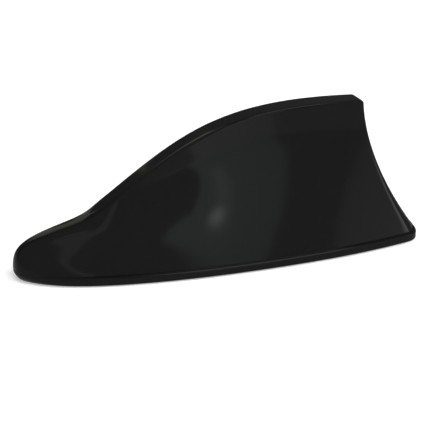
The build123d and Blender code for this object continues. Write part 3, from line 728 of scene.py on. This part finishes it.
@dataclass
class FinCover:
    """The moulded cover, in millimetres: the fin on its rim, as one closed shell with a wall all round.

    Attributes:
        rim_bottom: Height of the rim's underside.
        rim_height: Height of the rim.
        foot_depth: How far below the rim's top the curves of the fin's walls start.
        shoulder_drop: How far the shoulder falls from the fin to the rim's side.
        shoulder_turn: Angle through which the shoulder turns, in degrees.
        least_step: Least width of the shoulder.
        bottom_round: Rounding of the rim's lower edge.
        nose_round: How much wider that rounding is at the nose.
        nose_round_height: How much taller it is there.
        nose_round_length: How far along the rim that goes on.
        nose_flatness: How flat it is there, from 0 for round to 0.5 for straight.
        wall: Thickness of the moulding.
        lip: Thickness of the lip round the base plate.
        seat_z: Height of the shoulder that the base plate meets.
        columns: Columns along the side, round the rear edge and over half of the tail face.
        outer_rows: Points up the wall, round the shoulder and over half of the crest.
        inner_rows: The same inside.
        bottom_rows: Points round the rim's lower edge.
        shoulder_rows: Points round the rim's shoulder.
    """

    rim_bottom: float = 0.5
    rim_height: float = 3.4
    foot_depth: float = 1.8
    shoulder_drop: float = 0.8
    shoulder_turn: float = 75.0
    least_step: float = 0.05
    bottom_round: float = 0.4
    nose_round: float = 1.05
    nose_round_height: float = 2.1
    nose_round_length: float = 13.0
    nose_flatness: float = 0.4
    wall: float = 2.4
    lip: float = 1.5
    seat_z: float = 3.3
    columns: tuple[int, int, int] = (230, 10, 22)
    outer_rows: tuple[int, int, int] = (64, 9, 5)
    inner_rows: tuple[int, int, int] = (16, 4, 3)
    bottom_rows: int = 8
    shoulder_rows: int = 9

    @property
    def rim_top(self) -> float:
        """Height at which the fin leaves the rim."""
        return self.rim_bottom + self.rim_height

    def plan(self) -> FootPlan:
        """The foot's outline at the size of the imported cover."""
        low, high = (np.array(corner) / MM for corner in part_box("fin_cover"))
        return FootPlan(length=float(high[0] - low[0]), width=float(high[1] - low[1]))

    def fin(self, form: FinForm, rows: tuple[int, int, int]) -> np.ndarray:
        """Half of a fin's skin, with points up its wall, round its shoulder and over half of its crest."""
        shares = [np.linspace(part, part + 1, count)[min(part, 1):] for part, count in enumerate(rows)]
        return form.columns(np.concatenate(shares), *self.columns)

    def rim(self, outline: np.ndarray, foot: np.ndarray) -> np.ndarray:
        """The rim's skin: a profile of insets and heights carried along the outline.

        The lower edge is a quadratic Bezier curve, wider, taller and flatter at the nose. The shoulder is
        part of a circle, stretched to end at the fin's foot.

        Args:
            outline: Points of the outline, nose to the middle of the tail.
            foot: Points of the fin's foot beside them, where the shoulder ends.

        Returns:
            A grid of points, columns first, from the lip's inner edge up to the fin's foot.
        """
        run = np.gradient(outline, axis=0)
        run[0], run[-1] = (0.0, 1.0), (0.0, -1.0)
        run /= np.linalg.norm(run, axis=1)[:, None]
        inward = np.stack([run[:, 1], -run[:, 0]], -1)
        from_nose = outline[:, 0] - outline[0, 0]
        at_nose = np.exp(-(from_nose / self.nose_round_length) ** 2)[:, None]
        under = self.bottom_round + self.nose_round * at_nose
        under_height = self.bottom_round + self.nose_round_height * at_nose
        share = np.linspace(0, 1, self.bottom_rows)
        middle = 2 * share * (1 - share) * self.nose_flatness * at_nose
        slope = np.radians(np.linspace(0, self.shoulder_turn, self.shoulder_rows))
        step = np.maximum(((foot - outline) * inward).sum(axis=1), self.least_step)[:, None]
        drop = self.shoulder_drop * (1 - np.sin(slope) / np.sin(slope[-1]))
        ones = np.ones_like(under)
        inset = np.concatenate([
            self.lip * ones, self.lip * ones, under * ((1 - share) ** 2 + middle),
            step * ((1 - np.cos(slope)) / (1 - np.cos(slope[-1])))[:-1],
        ], axis=1)
        height = np.concatenate([
            self.seat_z * ones, self.rim_bottom * ones,
            self.rim_bottom + under_height * (share ** 2 + middle), (self.rim_top - drop)[:-1] * ones,
        ], axis=1)
        place = outline[:, None] + inset[..., None] * inward[:, None]
        place[[0, -1], :, 1] = 0.0
        return np.concatenate([place, height[..., None]], -1)

    def build(self) -> bpy.types.Object:
        """Builds the shell: the inner skin from the middle down, the rim, and the outer skin to the middle.

        Returns:
            The cover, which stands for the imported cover.
        """
        plan = self.plan()
        foot_z = self.rim_top - self.foot_depth
        outside = self.fin(FinForm(plan, self.rim_top, foot_z), self.outer_rows)
        inside = self.fin(FinForm(plan, self.seat_z, foot_z, inset=self.wall), self.inner_rows)
        foot = outside[:, 0, :2]
        length = run_length(foot)
        rim = self.rim(plan.outline(length / length[-1]), foot)
        half = np.concatenate([inside[:, ::-1], rim, outside], axis=1)
        cover = mesh_from_halves("fin_cover_shell", half)
        self.dress(cover)
        return cover

    def dress(self, cover: bpy.types.Object) -> None:
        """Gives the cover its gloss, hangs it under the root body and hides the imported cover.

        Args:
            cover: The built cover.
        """
        cover.data.materials.append(FINISHES["gloss_black_cover"].material())
        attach(cover, "root")
        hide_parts("fin_cover")


class InnerParts:
    """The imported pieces, of which all but the cover lie under it."""

    def dress(self) -> list[str]:
        """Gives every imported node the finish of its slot.

        Returns:
            The names of the nodes.
        """
        slots = {part["node"]: part["material_slot"] for part in frame["record"]["subparts"]}
        made = {slot: FINISHES[slot].material() for slot in sorted(set(slots.values()))}
        for name, node in frame["nodes"].items():
            node.data.materials.clear()
            node.data.materials.append(made[slots[name]])
        return sorted(frame["nodes"])


def towards(azimuth: float, elevation: float) -> np.ndarray:
    """The direction at an azimuth from the front, positive to the tail, and an elevation, in degrees."""
    turn, tilt = math.radians(azimuth), math.radians(elevation)
    return np.array([math.sin(turn) * math.cos(tilt), -math.cos(turn) * math.cos(tilt), math.sin(tilt)])


@dataclass(frozen=True)
class SoftBox:
    """A four-cornered sheet of diffuser that the gloss mirrors.

    Attributes:
        name: Its name.
        corners: Its corners in millimetres: low left, low right, high right and high left.
        glow: Brightness of its left and right edge, where 1 is white.
        fades: How far it fades out at its left, right, low and high edge, as shares of its size.
        colour: Its sRGB hex colour.
        points: Points along each edge.
    """

    name: str
    corners: tuple[ArrayLike, ...]
    glow: tuple[float, float]
    fades: tuple[float, float, float, float]
    colour: str = "#ffffff"
    points: int = 33

    def build(self) -> None:
        """Hangs the sheet: its corners mixed across and up, with glow and fade kept at each point."""
        even = np.linspace(0, 1, self.points)
        across, up = np.meshgrid(even, even, indexing="ij")
        low_left, low_right, high_right, high_left = (np.asarray(corner, float) for corner in self.corners)
        low = blend(low_left, low_right, across[..., None])
        high = blend(high_left, high_right, across[..., None])
        places = blend(low, high, up[..., None]).reshape(-1, 3) * MM
        mesh = bpy.data.meshes.new(self.name)
        mesh.from_pydata(places.tolist(), [], grid_faces(self.points, self.points).tolist())
        edges = (across, 1 - across, up, 1 - up)
        fade = np.prod([ease(edge / share) for edge, share in zip(edges, self.fades) if share], axis=0)
        for name, value in (("fade", fade), ("glow", blend(*self.glow, across))):
            layer = mesh.attributes.new(name, "FLOAT", "POINT")
            layer.data.foreach_set("value", value.ravel().astype(np.float32))
        mesh.materials.append(self.material())
        made = add_object(self.name, mesh)
        made.visible_camera = False
        made.visible_diffuse = False
        made.visible_shadow = False

    def material(self) -> bpy.types.Material:
        """A lit diffuser that is clear where it has faded out.

        Returns:
            The material.
        """
        made = bpy.data.materials.new(self.name)
        tree = empty_tree(made)
        glow = add_node(tree, "ShaderNodeAttribute", {"attribute_name": "glow"})
        fade = add_node(tree, "ShaderNodeAttribute", {"attribute_name": "fade"})
        lit = add_node(tree, "ShaderNodeEmission", values={"Color": linear(self.colour)},
                       links={"Strength": glow.outputs["Fac"]})
        clear = add_node(tree, "ShaderNodeBsdfTransparent")
        sheet = add_node(tree, "ShaderNodeMixShader",
                         links={0: fade.outputs["Fac"], 1: clear.outputs[0], 2: lit.outputs[0]})
        add_node(tree, "ShaderNodeOutputMaterial", links={"Surface": sheet.outputs[0]})
        return made


@dataclass
class Studio:
    """Plain pale floor, soft lights and the camera at the photograph's angle.

    Lengths are in millimetres and angles in degrees. A brightness of 1 is white.
    """

    # Camera: direction and distance from its aim, focal length and width in the photograph's pixels,
    # width of the sensor and the distances that it shows
    azimuth: float = -21.55
    elevation: float = 23.18
    distance: float = 604.09
    aim: tuple[float, float, float] = (0.49, 0.0, 13.43)
    focal_px: float = 1482.3
    image_px: float = 432.0
    sensor: float = 36.0
    clip: tuple[float, float] = (10.0, 50000.0)
    # Floor: half of its width, its colour, what the camera sees added and its grey in the gloss
    floor_half: float = 4000.0
    floor_colour: str = "#f4f4f4"
    floor_lift: float = 0.35
    floor_grey: float = 0.25
    # Surroundings: their light, their grey in the gloss at the front and at the back, and where
    # along Y, from -1 at the front to 1 at the back, one turns into the other
    soft_light: float = 0.75
    front_grey: float = 0.24
    back_grey: float = 0.10
    grey_range: tuple[float, float] = (-0.2, 0.6)
    # Lamp: its width, where it hangs and its power
    key_size: float = 800.0
    key_place: tuple[float, float, float] = (300.0, -600.0, 1100.0)
    key_watts: float = 9.0
    # Soft boxes: the place on the fin that they are laid out from, their distance, the share of it at
    # which one stands before another, and how much nearer the lamp in the window stands
    panel: tuple[float, float, float] = (10.0, -15.0, 28.0)
    box_distance: float = 4000.0
    near_share: float = 0.8
    lamp_gap: float = 200.0

    def camera(self) -> None:
        """Places the camera by azimuth, elevation and distance from its aim."""
        back = Vector(towards(self.azimuth, self.elevation))
        lens = bpy.data.cameras.new("camera")
        lens.sensor_width = self.sensor
        lens.lens = self.focal_px * self.sensor / self.image_px
        lens.clip_start, lens.clip_end = (end * MM for end in self.clip)
        made = add_object("camera", lens)
        made.rotation_mode = "QUATERNION"
        made.location = (Vector(self.aim) + back * self.distance) * MM
        made.rotation_quaternion = (-back).to_track_quat("-Z", "Y")
        bpy.context.scene.camera = made

    def floor(self) -> None:
        """Lays a wide white floor that keeps the aerial's shadow and looks grey in its gloss."""
        half = self.floor_half * MM
        corners = [(-half, -half, 0), (half, -half, 0), (half, half, 0), (-half, half, 0)]
        mesh = bpy.data.meshes.new("floor")
        mesh.from_pydata(corners, [], [(0, 1, 2, 3)])
        material = bpy.data.materials.new("white_floor")
        tree = empty_tree(material)
        matt = add_node(tree, "ShaderNodeBsdfDiffuse", values={"Color": linear(self.floor_colour)})
        glow = add_node(tree, "ShaderNodeEmission", values={"Strength": self.floor_lift})
        both = add_node(tree, "ShaderNodeAddShader", links={0: matt.outputs[0], 1: glow.outputs[0]})
        dim = add_node(tree, "ShaderNodeEmission", values={"Strength": self.floor_grey})
        add_node(tree, "ShaderNodeOutputMaterial", links={"Surface": seen_by_ray(tree, matt, both, dim)})
        mesh.materials.append(material)
        made = add_object("floor", mesh)

    def world(self) -> None:
        """Lights all round softly: white to the camera, and in the gloss a grey that darkens to the back."""
        world = bpy.data.worlds.new("studio")
        bpy.context.scene.world = world
        tree = empty_tree(world)
        start, end = self.grey_range
        place = add_node(tree, "ShaderNodeTexCoord")
        axes = add_node(tree, "ShaderNodeSeparateXYZ", links={"Vector": place.outputs["Generated"]})
        grey = add_node(tree, "ShaderNodeMapRange", {"interpolation_type": "SMOOTHSTEP"},
                        {"From Min": start, "From Max": end, "To Min": self.front_grey,
                         "To Max": self.back_grey}, {"Value": axes.outputs["Y"]})
        soft = add_node(tree, "ShaderNodeBackground", values={"Strength": self.soft_light})
        white = add_node(tree, "ShaderNodeBackground", values={"Strength": 1.0})
        dim = add_node(tree, "ShaderNodeBackground", links={"Strength": grey.outputs["Result"]})
        add_node(tree, "ShaderNodeOutputWorld", links={"Surface": seen_by_ray(tree, soft, white, dim)})

    def key_light(self) -> None:
        """Hangs a wide lamp above the front for the soft shadow, which stays out of the gloss."""
        lamp = bpy.data.lights.new("key", "AREA")
        lamp.shape = "RECTANGLE"
        lamp.size = lamp.size_y = self.key_size * MM
        lamp.energy = self.key_watts
        made = add_object("key", lamp)
        made.location = Vector(self.key_place) * MM
        made.rotation_mode = "QUATERNION"
        made.rotation_quaternion = (-Vector(self.key_place)).to_track_quat("-Z", "Y")
        made.visible_glossy = False

    def sheet(self, *ways: tuple[float, float], distance: float = 0.0) -> tuple[np.ndarray, ...]:
        """The places at pairs of azimuth and elevation and at a distance, seen from the fin's panel."""
        reach = distance or self.box_distance
        return tuple(np.array(self.panel) + towards(*way) * reach for way in ways)

    def soft_boxes(self) -> list[SoftBox]:
        """The sheets that the gloss mirrors.

        Returns:
            The front window with a brighter streak and a lamp in it, its pool on the floor, the rear sheet
            with its bright bar, the two leaves of the strip ahead of the nose, the bar over the crest, the
            warm card behind the nose and the warm sheet behind the dome.
        """
        near = self.near_share * self.box_distance
        nearer = near - self.lamp_gap
        return [
            SoftBox("front_window", self.sheet((7.5, -0.3), (20.8, -0.3), (28, 51), (1, 49.5)),
                    glow=(0.47, 0.36), fades=(0.03, 0.05, 0.0, 0.06), colour=COOL_WHITE),
            SoftBox("window_streak", self.sheet((7.5, 4), (11.5, 4), (18, 45), (9, 47), distance=near),
                    glow=(0.6, 0.6), fades=(0.4, 0.5, 0.4, 0.2), colour=COOL_WHITE),
            SoftBox("lamp_in_window",
                    self.sheet((8.4, 30.5), (14, 30.5), (14.4, 42), (7.8, 42), distance=nearer),
                    glow=(1.35, 1.35), fades=(0.5, 0.5, 0.5, 0.5), colour=COOL_WHITE),
            SoftBox("floor_pool", ((25, -131, 2), (80, -133, 2), (1494, -3930, 2), (607, -3930, 2)),
                    glow=(0.47, 0.36), fades=(0.06, 0.06, 0.0, 0.0)),
            SoftBox("rear_sheet", self.sheet((28.5, -0.3), (62, -0.3), (72, 48), (39.5, 48)),
                    glow=(0.29, 0.45), fades=(0.05, 0.1, 0.25, 0.1)),
            SoftBox("rear_bar", self.sheet((54, 8), (78, 8), (80, 38), (54, 38), distance=near),
                    glow=(1.1, 1.1), fades=(0.25, 0.25, 0.2, 0.2)),
            SoftBox("nose_strip_high",
                    self.sheet((-17.2, 44.5), (-13.4, 45), (-11.2, 52.5), (-16.6, 53.5)),
                    glow=(0.34, 0.34), fades=(0.15, 0.1, 0.0, 0.15)),
            SoftBox("nose_strip_low", self.sheet((-19.9, 21), (-9.3, 20), (-13.2, 45.5), (-16.8, 45)),
                    glow=(0.34, 0.34), fades=(0.15, 0.1, 0.1, 0.0)),
            SoftBox("overhead_bar",
                    ((150, -500, 1500), (900, -500, 1500), (900, 500, 1500), (150, 500, 1500)),
                    glow=(0.9, 0.9), fades=(0.2, 0.2, 0.2, 0.2)),
            SoftBox("warm_card", ((-50, 300, 60), (-104, 300, 60), (-104, 300, 183), (-50, 300, 183)),
                    glow=(0.42, 0.42), fades=(0.12, 0.12, 0.1, 0.05), colour=WARM_WHITE),
            SoftBox("dome_sheet", self.sheet((176.5, 29), (203, 29), (207, 68), (176.5, 68)),
                    glow=(0.5, 0.5), fades=(0.1, 0.1, 0.03, 0.3), colour=WARM_WHITE),
        ]

    def build(self) -> None:
        """Sets up the camera, the floor, the world, the lamp and the soft boxes."""
        bpy.context.scene.view_settings.view_transform = "Standard"
        self.camera()
        self.floor()
        self.world()
        self.key_light()
        for box in self.soft_boxes():
            box.build()
            LOG.info("hung %s", box.name)


def main() -> None:
    """Builds the aerial's looks and the studio."""
    logging.basicConfig(level=logging.INFO, format="%(name)s: %(message)s")
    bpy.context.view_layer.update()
    for name in InnerParts().dress():
        LOG.info("dressed %s", name)
    cover = FinCover().build()
    LOG.info("built %s with %d faces", cover.name, len(cover.data.polygons))
    Studio().build()


if __name__ == "__main__":
    main()
